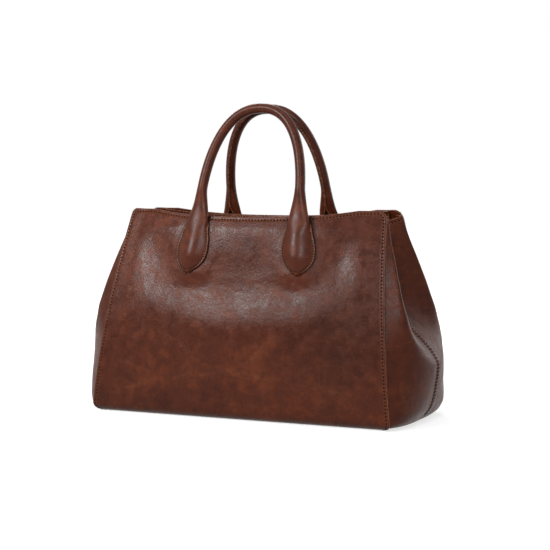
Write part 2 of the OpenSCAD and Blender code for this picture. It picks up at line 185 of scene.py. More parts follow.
LEAN_OUT = np.array([0, -math.cos(HANDLE_LEAN), math.sin(HANDLE_LEAN)])


# Meshes: grids of points become closed sheets with rounded edges
def unit(v):
    return v / np.maximum(np.linalg.norm(v, axis=-1, keepdims=True), 1e-9)


def grid_normals(grid):
    right, up = np.gradient(grid, axis=1), np.gradient(grid, axis=0)
    return unit(np.cross(unit(right), unit(up)))


class Build:
    """Points, faces and per-point values of one piece."""

    def __init__(self):
        self.points, self.faces, self.kinds = [], [], []
        self.values = {"crease": [], "wear": [], "dirt": []}
        self.count = 0

    def add(self, points, faces=(), **values):
        """Adds points, and faces between them. Returns the number of the first point."""
        points = points.reshape(-1, 3)
        self.points.append(points)
        self.link(np.asarray(faces, int) + self.count)
        for key, store in self.values.items():
            value = np.asarray(values.get(key, 0.0), float).ravel()
            store.append(np.broadcast_to(value, len(points)))
        self.count += len(points)
        return self.count - len(points)

    def link(self, faces, kind=0):
        """Adds faces between points that are there already."""
        self.faces.extend(np.asarray(faces).tolist())
        self.kinds.extend([kind] * len(faces))

    def finish(self, name, materials, flip=(1, 1, 1)):
        points = np.vstack(self.points) * np.array(flip) * MM
        faces = [f[::-1] for f in self.faces] if np.prod(flip) < 0 else self.faces
        mesh = bpy.data.meshes.new(name)
        mesh.from_pydata(points.tolist(), [], faces)
        for material in materials:
            mesh.materials.append(material)
        if len(materials) > 1:
            mesh.polygons.foreach_set("material_index", self.kinds)
        mesh.shade_smooth()
        rest = mesh.attributes.new("rest", "FLOAT_VECTOR", "POINT")
        rest.data.foreach_set("vector", points.astype(np.float32).ravel())
        for key, store in self.values.items():
            layer = mesh.attributes.new(key, "FLOAT", "POINT")
            layer.data.foreach_set("value", np.concatenate(store).astype(np.float32))
        mesh.update()
        obj = bpy.data.objects.new(name, mesh)
        bpy.context.scene.collection.objects.link(obj)
        return obj


def quads(rows, cols):
    """Faces of a grid's outer side."""
    a = (np.arange(rows - 1)[:, None] * cols + np.arange(cols - 1)).ravel()
    return np.stack([a, a + 1, a + cols + 1, a + cols], 1)


def shell(build, grid, thick, edge_r=0.55, **marks):
    """A closed sheet on the inner side of grid, with rounded, painted edges."""
    rows, cols = grid.shape[:2]
    n = grid_normals(grid)
    thick = np.broadcast_to(thick, (rows, cols))
    outer, inner = grid.copy(), grid - n * thick[..., None]
    # The points round the border, from the first one along the first row
    bi = np.r_[np.zeros(cols, int), 1:rows, np.full(cols - 1, rows - 1), rows - 2:0:-1]
    bj = np.r_[0:cols, np.full(rows - 1, cols - 1), cols - 2:-1:-1, np.zeros(rows - 2, int)]
    ni, nj = np.clip(bi, 1, rows - 2), np.clip(bj, 1, cols - 2)
    edge, normal, t = grid[bi, bj], n[bi, bj], thick[bi, bj][:, None]
    away = edge - grid[ni, nj]
    away = unit(away - np.sum(away * normal, -1, keepdims=True) * normal)
    r = np.minimum(edge_r, 0.46 * t)
    r = np.minimum(r, 0.9 * np.linalg.norm(edge - grid[ni, nj], axis=-1, keepdims=True))
    top, low = edge - r * away - r * normal, edge - r * away - (t - r) * normal
    outer[bi, bj] = edge - r * away
    inner[bi, bj] = edge - r * away - t * normal
    rings = [top + r * (away * math.sin(a) + normal * math.cos(a))
             for a in np.radians((30, 60, 90))]
    rings += [low + r * (away * math.cos(a) - normal * math.sin(a))
              for a in np.radians((0, 30, 60))]
    upper = build.add(outer, quads(rows, cols), **marks) + bi * cols + bj
    lower = build.add(inner, quads(rows, cols)[:, [0, 3, 2, 1]]) + bi * cols + bj
    around = np.arange(len(bi))
    for ring in [build.add(ring, wear=1.0) + around for ring in rings] + [lower]:
        build.link(np.stack([upper, ring, np.roll(ring, -1), np.roll(upper, -1)], 1), 1)
        upper = ring


# Threads and needle holes
def along_line(points):
    """Distance of each point of a line from its start."""
    return np.concatenate([[0], np.cumsum(np.linalg.norm(np.diff(points, axis=0), axis=1))])


def pick(marks, along, values):
    """Rows of values at the given distances along their line."""
    return np.stack([np.interp(marks, along, values[:, k]) for k in range(3)], 1)


def ring_faces(count, sides):
    """Faces of a tube with this many rings of points."""
    faces = []
    for k in range(0, (count - 1) * sides, sides):
        for s in range(sides):
            q = (s + 1) % sides
            faces.append([k + s, k + q, k + sides + q, k + sides + s])
    return np.array(faces)


# For each ring of a thread: its place along the pitch, its width and its lift, as shares
THREAD_RINGS = list(zip((0.17, 0.23, 0.36, 0.5, 0.64, 0.77, 0.83),
                        (0.35, 0.85, 1.0, 1.05, 1.0, 0.85, 0.35),
                        (-0.8, -0.1, 0.5, 0.65, 0.5, -0.1, -0.8)))
THREAD_FLATNESS, THREAD_SLANT, THREAD_SIDES = 0.62, 0.08, 6
THREAD_TURNS = np.arange(THREAD_SIDES) * 2 * math.pi / THREAD_SIDES
body_threads, body_holes = Build(), Build()


def stitches(points, normals, flip, threads=body_threads, holes=body_holes, pitch=STITCH_PITCH,
             r=0.72, lift=0.02, hole_r=0.40):
    """Adds a row of threads, each from one needle hole to the next, along a line on a surface. The
    line is given in the front right frame, and mirrored as its piece is."""
    points, normals = points * np.array(flip), normals * np.array(flip)
    along = along_line(points)
    marks = np.linspace(0, along[-1], max(1, round(along[-1] / pitch)) + 1)
    p, n = pick(marks, along, points), unit(pick(marks, along, normals))
    step = p[1:] - p[:-1]
    length = np.linalg.norm(step, axis=1, keepdims=True)
    way = unit(step)
    side = unit(np.cross(way, unit(n[:-1] + n[1:])))
    normal = np.cross(side, way)
    rings = []
    for share, width, rise in THREAD_RINGS:
        centre = p[:-1] + step * share + normal * (lift + rise * r)
        centre = centre + side * THREAD_SLANT * length * (share - 0.5)
        rings += [centre + r * width * (side * math.cos(a) + normal * THREAD_FLATNESS * math.sin(a))
                  for a in THREAD_TURNS]
    per, sides = len(rings), THREAD_SIDES
    starts = (np.arange(len(step)) * per)[:, None]
    faces = starts[..., None] + ring_faces(len(THREAD_RINGS), sides)
    at = threads.add(np.stack(rings, 1), faces.reshape(-1, 4))
    for cap in (np.arange(sides)[::-1], per - sides + np.arange(sides)):
        threads.link(at + starts + cap)
    # A needle hole is a low dimple between two threads, near-black as painted shade of the hole
    way = unit(np.gradient(p, axis=0))
    side = unit(np.cross(way, n))
    dimple = []
    for radius, rise in ((1.0, -0.06), (0.62, 0.07)):
        dimple += [p + hole_r * radius * (0.8 * way * math.cos(a) + side * math.sin(a)) + n * rise
                   for a in THREAD_TURNS]
    top, low = len(dimple), len(dimple) + 1
    dimple += [p + n * 0.09, p - n * 0.3]
    fans = [[sides + s, sides + (s + 1) % sides, top] for s in range(sides)]
    fans += [[(s + 1) % sides, s, low] for s in range(sides)]
    starts = (np.arange(len(p)) * len(dimple))[:, None, None]
    at = holes.add(np.stack(dimple, 1), (starts + ring_faces(2, sides)).reshape(-1, 4))
    holes.link((at + starts + np.array(fans)).reshape(-1, 3))


# Materials
def empty_tree(owner):
    owner.use_nodes = True
    owner.node_tree.nodes.clear()
    return owner.node_tree


def fill(tree, made, inputs):
    """Sets or links the inputs of a node."""
    for key, value in inputs.items():
        if isinstance(value, bpy.types.NodeSocket):
            tree.links.new(value, made.inputs[key])
        else:
            made.inputs[key].default_value = value


def node(tree, kind, inputs=None, **settings):
    made = tree.nodes.new("ShaderNode" + kind)
    for key, value in settings.items():
        setattr(made, key, value)
    fill(tree, made, inputs or {})
    return made


def new_material(name):
    material = bpy.data.materials.new(name)
    tree = empty_tree(material)
    shader = node(tree, "BsdfPrincipled")
    node(tree, "OutputMaterial", {0: shader.outputs[0]})
    return material, tree, shader


def rest_of(tree):
    return node(tree, "Attribute", attribute_name="rest").outputs["Vector"]


def value_of(tree, name):
    return node(tree, "Attribute", attribute_name=name).outputs["Fac"]


def noise(tree, vector, scale, detail=3.0, rough=0.55, distortion=0.0):
    return node(tree, "TexNoise", {"Vector": vector, "Scale": scale, "Detail": detail,
                "Roughness": rough, "Distortion": distortion}).outputs["Fac"]


def object_place(tree):
    return node(tree, "TexCoord").outputs["Object"]


def mapped(tree, vector, turn=(0, 0, 0), scale=(1, 1, 1)):
    made = node(tree, "Mapping", {"Vector": vector, "Rotation": turn, "Scale": scale})
    return made.outputs[0]


def span(tree, value, a, b, c, d):
    """Maps a value from a..b to c..d with soft ends."""
    return node(tree, "MapRange", {"Value": value, "From Min": a, "From Max": b, "To Min": c,
                "To Max": d}, interpolation_type="SMOOTHSTEP").outputs["Result"]


def math_node(tree, kind, a, b):
    return node(tree, "Math", {0: a, 1: b}, operation=kind).outputs[0]


# Places of the factor and the two colours among the mix node's inputs, and of its colour output
MIX_FACTOR, MIX_A, MIX_B, MIX_RESULT = 0, 6, 7, 2


def mix(tree, share, a, b):
    made = node(tree, "Mix", {MIX_FACTOR: share, MIX_A: a, MIX_B: b}, data_type="RGBA",
                clamp_factor=True)
    return made.outputs[MIX_RESULT]


def shade(r, g, b):
    return (r, g, b, 1.0)


def dress(tree, shader, colour, rough, specular, *bumps, **more):
    """Sets the shader. Each bump is a height, a strength, a distance and, where its height is
    turned over, True. The finest one is first."""
    normal = {}
    for height, strength, distance, *invert in bumps:
        made = node(tree, "Bump", {"Height": height, "Strength": strength,
                    "Distance": distance, **normal}, invert=bool(invert))
        normal = {"Normal": made.outputs[0]}
    fill(tree, shader, {"Base Color": colour, "Roughness": rough, "Specular IOR Level": specular,
                        **normal, **more})


LEATHER_DARK = shade(0.0390, 0.0080, 0.0032)
LEATHER_MID = shade(0.0560, 0.0118, 0.0045)
LEATHER_RED = shade(0.0880, 0.0195, 0.0068)
LEATHER_WARM = shade(0.1450, 0.0430, 0.0170)
# Near-black brown for painted shade and for darker patches of the panels
LEATHER_SHADE_AND_PATCH = shade(0.0110, 0.0038, 0.0022)


def leather(name, grain=1.0, gloss=0.29, lift=1.0):
    """Waxed full-grain leather: clouds, mottle, pull-up on creases, wear and painted highlight on
    edges and stitch lines, painted shade and darker patches, and a grain.
    """
    material, tree, shader = new_material(name)
    rest = rest_of(tree)
    cloud = noise(tree, rest, 15, 3, 0.55, 0.4)
    mottle = noise(tree, rest, 84, 5, 0.6, 0.3)
    fine = noise(tree, rest, 460, 4, 0.65)
    speck = noise(tree, rest, 230, 4, 0.7, 0.5)
    streak = noise(tree, mapped(tree, rest, (0.0, 0.5, 0.0), (1.0, 1.0, 3.6)), 44, 4, 0.66, 1.0)
    tone = math_node(tree, "ADD", math_node(tree, "MULTIPLY", cloud, 0.40),
                     math_node(tree, "MULTIPLY", mottle, 0.60))
    colour = LEATHER_DARK
    for value, low, high, share, other in (
        (tone, 0.36, 0.50, 1.0, LEATHER_MID), (tone, 0.50, 0.64, 0.9, LEATHER_RED),
        (streak, 0.54, 0.72, 0.55, LEATHER_RED), (speck, 0.54, 0.72, 0.30, LEATHER_DARK),
        (fine, 0.54, 0.72, 0.30, LEATHER_DARK),
    ):
        colour = mix(tree, span(tree, value, low, high, 0.0, share), colour, other)
    crease = math_node(tree, "MULTIPLY", value_of(tree, "crease"),
                       span(tree, speck, 0.40, 0.60, 0.15, 1.0))
    wear_and_highlight_share = math_node(tree, "MULTIPLY", value_of(tree, "wear"),
                     span(tree, fine, 0.35, 0.6, 0.35, 0.9))
    # Warm pull-up on creases, warm colour on edges and stitch lines that is partly rubbed wear and
    # partly painted highlight, then near-black painted shade and darker patches
    for share, other in ((crease, LEATHER_WARM), (wear_and_highlight_share, LEATHER_WARM),
                         (value_of(tree, "dirt"), LEATHER_SHADE_AND_PATCH)):
        colour = mix(tree, share, colour, other)
    if lift != 1.0:
        colour = node(tree, "HueSaturation", {"Value": lift, "Color": colour}).outputs[0]
    rough = math_node(tree, "ADD", span(tree, mottle, 0.3, 0.7, gloss - 0.05, gloss + 0.06),
                      span(tree, fine, 0.3, 0.7, -0.04, 0.06))
    warp = node(tree, "TexNoise", {"Vector": rest, "Scale": 240.0, "Detail": 2.0})
    shift = node(tree, "VectorMath", {0: warp.outputs["Color"], "Scale": 0.0022},
                 operation="SCALE")
    bent = node(tree, "VectorMath", {0: rest, 1: shift.outputs[0]}, operation="ADD")
    bent = bent.outputs[0]
    cells = node(tree, "TexVoronoi", {"Vector": bent, "Scale": 980.0, "Smoothness": 0.6},
                 feature="SMOOTH_F1").outputs["Distance"]
    plates = node(tree, "TexVoronoi", {"Vector": bent, "Scale": 520.0},
                  feature="DISTANCE_TO_EDGE").outputs["Distance"]
    plates = math_node(tree, "MULTIPLY", span(tree, plates, 0.0, 0.20, -1.0, 0.0),
                       span(tree, mottle, 0.42, 0.62, 0.2, 1.0))
    dress(tree, shader, colour, rough, 0.12,
          (cells, 0.30 * grain, 0.00016, True), (plates, 0.36 * grain, 0.00014),
          (noise(tree, bent, 400, 4, 0.62, 0.5), 0.60 * grain, 0.00028),
          (noise(tree, rest, 85, 3, 0.5), 0.5 * min(grain, 1.0), 0.0008))
    return material


def plain_material(name, place_of, grain, dark, pale, rough, specular, bump=None, spread=None):
    """A material of one fine noise between two colours. Its bump is a strength and a distance."""
    material, tree, shader = new_material(name)
    fine = noise(tree, place_of(tree), *grain)
    share = span(tree, fine, *spread, 0.0, 1.0) if spread else fine
    bumps = [(fine, *bump)] if bump else []
    dress(tree, shader, mix(tree, share, shade(*dark), shade(*pale)), rough, specular, *bumps)
    return material


def board_place(tree):
    return mapped(tree, object_place(tree), scale=(1.0, 6.0, 1.0))


def thread_material(name):
    material, tree, shader = new_material(name)
    rest = rest_of(tree)
    fibre = noise(tree, rest, 2400, 2, 0.6)
    tone = noise(tree, rest, 140, 2, 0.5)
    colour = mix(tree, fibre, shade(0.006, 0.0025, 0.0015), shade(0.020, 0.007, 0.0035))
    colour = mix(tree, span(tree, tone, 0.4, 0.65, 0.0, 0.4), colour, shade(0.030, 0.009, 0.004))
    dress(tree, shader, colour, 0.7, 0.06, (fibre, 0.6, 0.0001))
    return material


def cloth_material(name):
    """Twill lining: fine diagonal ribs with uneven yarns."""
    material, tree, shader = new_material(name)
    rest = rest_of(tree)
    ribs = node(tree, "TexWave", {"Vector": mapped(tree, rest, (0.6, 0.5, 0.6)),
                "Scale": 420.0, "Distortion": 0.6, "Detail": 2.0}, wave_type="BANDS",
                bands_direction="X").outputs["Fac"]
    yarn = noise(tree, rest, 700, 2, 0.6)
    tone = noise(tree, rest, 24, 3, 0.5)
    colour = mix(tree, ribs, shade(0.026, 0.016, 0.011), shade(0.062, 0.040, 0.028))
    colour = mix(tree, span(tree, yarn, 0.4, 0.7, 0.0, 0.5), colour, shade(0.075, 0.05, 0.035))
    colour = mix(tree, span(tree, tone, 0.35, 0.65, 0.0, 0.45), colour, shade(0.020, 0.012, 0.009))
    dress(tree, shader, colour, 0.82, 0.15, (ribs, 0.5, 0.00025), (yarn, 0.3, 0.0002),
          **{"Sheen Weight": 0.2})
    return material


def metal_material(name):
    material, tree, shader = new_material(name)
    place = object_place(tree)
    brushed = noise(tree, mapped(tree, place, scale=(12.0, 1.0, 1.0)), 260, 3, 0.6)
    spots = noise(tree, place, 160, 3, 0.6)
    colour = mix(tree, span(tree, spots, 0.4, 0.7, 0.0, 0.5), shade(0.45, 0.40, 0.33),
                 shade(0.30, 0.26, 0.21))
    dress(tree, shader, colour, span(tree, brushed, 0.3, 0.7, 0.24, 0.42), 0.5,
          (brushed, 0.15, 0.0001), Metallic=1.0)
    return material


body_leather = leather("body_leather_grain")
gusset_leather = leather("gusset_leather_grain", gloss=0.37)
handle_leather = leather("handle_leather_grain", grain=0.15, gloss=0.33)
inner_leather = leather("inner_leather_grain", grain=0.8, gloss=0.5, lift=1.15)
# The sealed edge of a leather piece is darker, with brighter rubbed spots
painted_edge = plain_material("painted_edge", rest_of, (500, 3, 0.6), (0.060, 0.019, 0.010),
                              (0.17, 0.062, 0.031), 0.45, 0.15, (0.4, 0.0002), (0.42, 0.66))
thread = thread_material("sewing_thread")
# Needle holes: near-black as painted shade
hole = plain_material("needle_hole_shade", rest_of, (900, 2, 0.5), (0.006, 0.003, 0.002),
                      (0.016, 0.006, 0.004), 0.85, 0.1)
twill = cloth_material("lining_twill")
board_stock = plain_material("grey_board", board_place, (300, 4, 0.7), (0.14, 0.12, 0.10),
                             (0.26, 0.23, 0.19), 0.9, 0.5, (0.4, 0.0002))
snap_metal = metal_material("antique_nickel")
filler_fibre = plain_material("filler_fibre", rest_of, (900, 3, 0.6), (0.020, 0.010, 0.007),
                              (0.050, 0.026, 0.017), 0.9, 0.15, (0.6, 0.0003))

SIDES = {"right": 1, "left": -1}
FACES = {"front": 1, "rear": -1}
WALLS = {"front": 1, "back": -1}


def place(obj, slot, *replaces):
    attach(obj, "bag")
    if replaces:
        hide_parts(*replaces)
    return obj


def add_sheet(name, grid, thick, materials, flip, slot, replaces, edge_r=0.55, **marks):
    """A piece of leather or cloth on the bag, in the place of one CAD solid."""
    build = Build()
    shell(build, grid, thick, edge_r, **marks)
    return place(build.finish(name, materials, flip), slot, replaces)


# Panels, made as the front one, with columns at set distances from the edge
STITCH_IN = 3.4
EDGE_MARKS = [0.0, 0.9, 1.7, 2.3, 2.7, 3.05, STITCH_IN, 3.75, 4.1, 4.6, 5.4, 6.6, 8.2, 10.0, 12.0]
LAST_MARK = 14.0
PANEL_COLUMNS, PANEL_WALL_ROWS, FOLD_ROWS, UNDER_ROWS = 200, 124, 9, 14
LEFT_CORNER_R, RIGHT_CORNER_R = 5.5, 10.0
FAR = 99.0


def corner_round(p, q, r):
    """Turns distances from two edges into distances from a rounded corner's edges."""
    a, b = r - p, r - q
    far = np.maximum(np.hypot(a, b), 1e-9)
    shrink = np.where((a > 0) & (b > 0), np.maximum(a, b) / far, 1)
    return r - a * shrink, r - b * shrink


def panel_grid():
    """Outer face from the base seam round the fold to the rim, and each point's distance from
    the edge."""
    marks = np.array(EDGE_MARKS + [LAST_MARK])
    middle = np.linspace(-1, 1, PANEL_COLUMNS)[1:-1]
    ends = np.ones(len(marks))
    share = np.concatenate([-ends, middle, ends])
    mark = np.concatenate([marks, np.full(len(middle), LAST_MARK), marks[::-1]])

    def wall_x(z):
        return share * (half_w(z) - mark)

    flat = rim_flat(share)
    y_fold = panel_y(wall_x(FOLD_R), FOLD_R)
    rows = []
    for t in np.linspace(0, 1, UNDER_ROWS, endpoint=False):
        rows.append([wall_x(0.0), -lerp(SEAM_GAP / 2, y_fold - FOLD_R, t), 0 * share])
    for turn in np.radians(np.linspace(90, 0, FOLD_ROWS, endpoint=False)):
        z = FOLD_R * (1 - math.sin(turn))
        rows.append([wall_x(z), FOLD_R * (1 - math.cos(turn)) - y_fold, z + 0 * share])
    for u in np.linspace(0, 1, PANEL_WALL_ROWS):
        z = lerp(FOLD_R, flat - LAST_MARK, u)
        rows.append([wall_x(z), -panel_y(wall_x(z), z), z])
    corner_r = np.where(share < 0, LEFT_CORNER_R, RIGHT_CORNER_R)
    for q in EDGE_MARKS[::-1]:
        from_side, from_rim = corner_round(mark, q, corner_r)
        z = flat - from_rim
        x = share * (half_w(z) - from_side)
        rows.append([x, -panel_y(x, z), z])
    from_rim = np.array([FAR] * (len(rows) - len(EDGE_MARKS)) + EDGE_MARKS[::-1])
    from_side = np.where(np.abs(share) == 1, mark, FAR)
    return np.moveaxis(np.array(rows), 1, 2), np.minimum(from_rim[:, None], from_side)


# Long creases of the panels: points (x, z), depth, width and colour share
CREASES = {
    "front": [
        ([(-112, 107), (-90, 93), (-67, 78), (-39, 60), (6, 52), (60, 46), (116, 38), (160, 31)],
         0.55, 3.2, 0.55),
        ([(-164, 21), (-128, 30), (-91, 39), (-45, 47), (0, 58), (20, 70), (36, 87), (54, 105)],
         0.50, 3.0, 0.50),
        ([(-140, 60), (-118, 50), (-96, 42)], 0.25, 2.4, 0.35),
        ([(20, 34), (52, 46), (92, 62)], 0.25, 2.2, 0.35),
        ([(-86, 150), (-60, 138), (-30, 132)], 0.16, 1.6, 0.18),
        ([(-52, 158), (-20, 142), (14, 134)], 0.16, 1.6, 0.18),
        ([(8, 150), (40, 138), (76, 134)], 0.15, 1.5, 0.15),
        ([(60, 150), (90, 142), (116, 148)], 0.15, 1.5, 0.15),
        ([(120, 60), (132, 84), (138, 108)], 0.22, 2.6, 0.22),
        ([(-150, 96), (-138, 120), (-130, 150)], 0.2, 2.6, 0.2),
        ([(-20, 20), (20, 16), (64, 22)], 0.2, 2.4, 0.3),
    ],
    "back": [
        ([(104, 112), (70, 88), (34, 66), (-12, 56), (-70, 52), (-124, 40)], 0.5, 3.2, 0.5),
        ([(150, 26), (96, 38), (36, 44), (-20, 62), (-48, 92)], 0.45, 3.0, 0.45),
        ([(-100, 140), (-64, 130), (-30, 134)], 0.16, 1.8, 0.2),
        ([(20, 128), (60, 134), (100, 146)], 0.16, 1.8, 0.2),
    ],
}
CREASE_SEED = {"front": 11, "back": 31}

# Darker places of the panels: x, z, half width, half height and share of the near-black colour
DARK_PATCHES = [(116, 96, 38, 52, 0.56), (-116, 88, 30, 26, 0.16), (14, 98, 46, 14, 0.10),
                (-60, 22, 60, 12, 0.10)]


def line_distance(x, z, line):
    """Distance from a bent line, and the share of the way along it."""
    line = np.array(line, float)
    ends = along_line(line)
    best, along = np.full(np.shape(x), 1e9), np.zeros(np.shape(x))
    for k, (a, b) in enumerate(zip(line[:-1], line[1:])):
        d = b - a
        t = np.clip(((x - a[0]) * d[0] + (z - a[1]) * d[1]) / (d @ d), 0, 1)
        gap = np.hypot(x - a[0] - t * d[0], z - a[1] - t * d[1])
        along = np.where(gap < best, lerp(ends[k], ends[k + 1], t) / ends[-1], along)
        best = np.minimum(best, gap)
    return best, along


# Ranges of a fine crease's depth, width and colour share
FINE_CREASE_RANGES = ((0.07, 0.16), (1.5, 2.2), (0.15, 0.42))


def fine_creases(creases, seed, count=46):
    """Short hair creases that run beside the long ones."""
    rng = np.random.default_rng(seed)
    made = []
    for _ in range(count):
        line = np.array(creases[rng.integers(len(creases))][0], float)
        k = rng.integers(len(line) - 1)
        at = lerp(line[k], line[k + 1], rng.uniform()) + rng.normal(size=2) * (9, 7)
        heading = math.atan2(*(line[k + 1] - line[k])[::-1]) + rng.normal() * 0.4
        length, bend = rng.uniform(8, 26), rng.normal() * 0.25
        way = np.array([math.cos(heading), math.sin(heading)])
        across = np.array([-way[1], way[0]])
        points = [at + length * (t * way + bend * t * t * across) for t in (-0.5, -0.17, 0.17, 0.5)]
        made.append((points, *[rng.uniform(*ends) for ends in FINE_CREASE_RANGES]))
    return made


def relief(grid, creases, seed):
    """Depth of the soft hollows and creases of a panel, and how marked each crease is."""
    x, z = grid[..., 0], grid[..., 2]
    from_side = half_w(z) - np.abs(x)
    wander_x = 2.2 * waves(grid, 15, seed + 3) + 0.7 * waves(grid, 5, seed + 4)
    wander_z = 2.2 * waves(grid, 15, seed + 5) + 0.7 * waves(grid, 5, seed + 6)
    depth = 0.35 * waves(grid, 46, seed) + 0.12 * waves(grid, 17, seed + 1)
    # A swell along each side, and one below the rim that the tabs hold back
    depth += 0.5 * bump(from_side - 26, 13) * smooth((z - 70) / 60) * smooth((216 - z) / 26)
    depth += 0.7 * bump(z - 206, 11) * (bump(x, 50) + 0.8 * bump(np.abs(x) - 102, 20))
    mark = np.zeros_like(x)
    for line, deep, width, colour in creases + fine_creases(creases, seed):
        d, along = line_distance(x + wander_x, z + wander_z, line)
        fade = smooth(along / 0.18) * smooth((1 - along) / 0.18)
        fade = fade * (0.72 + 0.28 * np.sin(along * 19 + seed))
        depth -= deep * fade * (bump(d, width) - 0.45 * bump(d, width * 2.6))
        blush = 0.62 * bump(d, width * 0.62) + 0.38 * bump(d, width * 2.8)
        mark = np.maximum(mark, 0.9 * colour * fade * blush)
    keep = smooth((BODY_H - RIM_SAG - 4 - z) / 10) * smooth((z - 1) / 9)
    keep = keep * smooth((from_side - 6) / 9) * (z > 1) * (np.abs(grid[..., 1]) > 10)
    return depth * smooth((past_tab(x, z) - 0.5) / 9) * keep, mark * keep


panel_base, panel_edges = panel_grid()
panel_normal = grid_normals(panel_base)
panel_x, panel_out, panel_z = panel_base[..., 0], np.abs(panel_base[..., 1]), panel_base[..., 2]
panel_side = half_w(panel_z) - np.abs(panel_x)
STITCH_COLUMN = EDGE_MARKS.index(STITCH_IN)
RIM_STITCH_ROW = len(panel_base) - 1 - STITCH_COLUMN

for wall, sy in WALLS.items():
    deep, mark = relief(panel_base, CREASES[wall], CREASE_SEED[wall])
    groove = -0.40 * bump(panel_edges - STITCH_IN, 0.9) - 0.05 * bump(panel_edges - 1.2, 0.9)
    swell = 0.10 * bump(panel_edges - 5.6, 1.6)
    # The edge stands a little proud, where the layers below it are sewn together
    proud = 0.9 * smooth((20 - panel_side) / 14) * smooth((panel_z - 60) / 50)
    outer = panel_base + panel_normal * (deep + groove + swell + proud)[..., None]
    # Warm lighter colour at the edge and along the stitch line is partly rubbed wear and partly
    # painted highlight; at the foot it is rubbed wear
    wear = 0.5 * bump(panel_edges - 0.2, 0.7) + 0.80 * bump(panel_edges - STITCH_IN, 1.0)
    foot = bump(panel_z - 3.0, 4.5) * (panel_out > 60)
    wear = np.maximum(wear, 0.25 * foot * (0.5 + 0.5 * waves(panel_base, 9, 5)))
    # Painted shade along the outlines of the tabs, with the darker patches added to it
    dirt = 0.75 * bump(past_tab(panel_x, panel_z), 1.9) * (panel_z > TAB_TIP_Z - 6)
    for x0, z0, reach_x, reach_z, amount in DARK_PATCHES:
        spread = amount * bump(panel_x - x0, reach_x) * bump(panel_z - z0, reach_z)
        dirt = dirt + spread * (0.75 + 0.25 * waves(panel_base, 14, 7 + abs(x0)))
    add_sheet(f"{wall}_panel_leather", outer, PANEL_T + proud, [body_leather, painted_edge],
              (1, sy, 1), "body_leather", f"{wall}_panel", crease=mark, wear=wear,
              dirt=dirt * (panel_out > 10))
    j0, j1 = STITCH_COLUMN, outer.shape[1] - 1 - STITCH_COLUMN
    side_rows = range(UNDER_ROWS, RIM_STITCH_ROW)
    path = [(i, j0) for i in side_rows] + [(RIM_STITCH_ROW, j) for j in range(j0, j1 + 1)]
    path = tuple(np.array(path + [(i, j1) for i in side_rows[::-1]]).T)
    stitches(outer[path], grid_normals(outer)[path], (1, sy, 1))

# Gussets. Each row: height share, place of the seam (1 fully out, -1 fully in), and how far the
# section's curve is pulled out and back at the panel edge, then at the seam
GUSSET = np.array([
    [0.00, 0.23, 0.10, 0.20, 0.010, 0.45],
    [0.012, 0.34, 0.14, 0.20, 0.016, 0.45],
    [0.03, 0.45, 0.19, 0.19, 0.025, 0.46],
    [0.07, 0.67, 0.25, 0.19, 0.040, 0.46],
    [0.12, 0.80, 0.26, 0.19, 0.045, 0.46],
    [0.18, 0.90, 0.25, 0.19, 0.030, 0.46],
    [0.24, 0.98, 0.24, 0.20, 0.010, 0.46],
    [0.285, 1.00, 0.24, 0.20, 0.015, 0.46],
    [0.32, 0.88, 0.27, 0.22, 0.060, 0.48],
    [0.36, 0.64, 0.32, 0.24, 0.120, 0.52],
    [0.405, 0.28, 0.38, 0.22, 0.190, 0.58],
    [0.46, -0.09, 0.42, 0.18, 0.260, 0.64],
    [0.53, -0.30, 0.42, 0.14, 0.340, 0.68],
    [0.61, -0.50, 0.36, 0.12, 0.420, 0.68],
    [0.70, -0.64, 0.28, 0.11, 0.460, 0.62],
    [0.80, -0.76, 0.20, 0.10, 0.440, 0.50],
    [0.90, -0.88, 0.11, 0.08, 0.380, 0.36],
    [1.00, -1.00, 0.04, 0.05, 0.280, 0.22],
])
seam_place = GUSSET[:, 1]
seam_out = curve(GUSSET[:, 0], np.where(seam_place > 0, GUSSET_BULGE, GUSSET_FOLD) * seam_place)
edge_out, edge_back, seam_pull, seam_back = [curve(GUSSET[:, 0], pull) for pull in GUSSET[:, 2:].T]
GUSSET_FOOT, GUSSET_TOP = PANEL_T + LAYER_GAP, BODY_H - RIM_R / 2
GUSSET_ROWS, GUSSET_COLS, LINE_STEPS = 118, 58, 200
GUSSET_RIM_MARKS = [0.0, 0.9, 1.8, 2.6, 3.0, STITCH_IN, 3.8, 4.4, 5.2, 6.4, 8.0]
GUSSET_RIM_BAND, SEAM_BAND = 10.0, 6.0
SEAM_STITCH = 2.65
SEAM_MARKS = [0.0, 0.35, 0.8, 1.3, 1.9, 2.3, SEAM_STITCH, 3.0, 3.4, 4.0, 4.8]
LAPS = np.array([SEAM_LAP, 6.0, 4.0, 2.0])


def gusset_z(h, t):
    return lerp(GUSSET_FOOT, GUSSET_TOP - GUSSET_DIP * smooth(t), h)


def gusset_points(h, t):
    """Outer face of the front right half, from the panel edge (t 0) to the centre seam (t 1)."""
    z = gusset_z(h, t)
    ax, ay = half_w(z), edge_y(np.maximum(z, FOLD_R)) - tuck(z)
    sx, sy = BASE_HALF_W + seam_out(h), SEAM_GAP / 2
    xs = [ax, ax + BASE_HALF_D * edge_out(h), sx + BASE_HALF_D * seam_pull(h), sx]
    ys = [ay, ay - BASE_HALF_D * edge_back(h), sy + BASE_HALF_D * seam_back(h), sy]
    weights = [(1 - t) ** 3, 3 * (1 - t) ** 2 * t, 3 * (1 - t) * t * t, t**3]
    x, y = [sum(w * c for w, c in zip(weights, cs)) for cs in (xs, ys)]
    return np.stack([x, -y, z], -1)


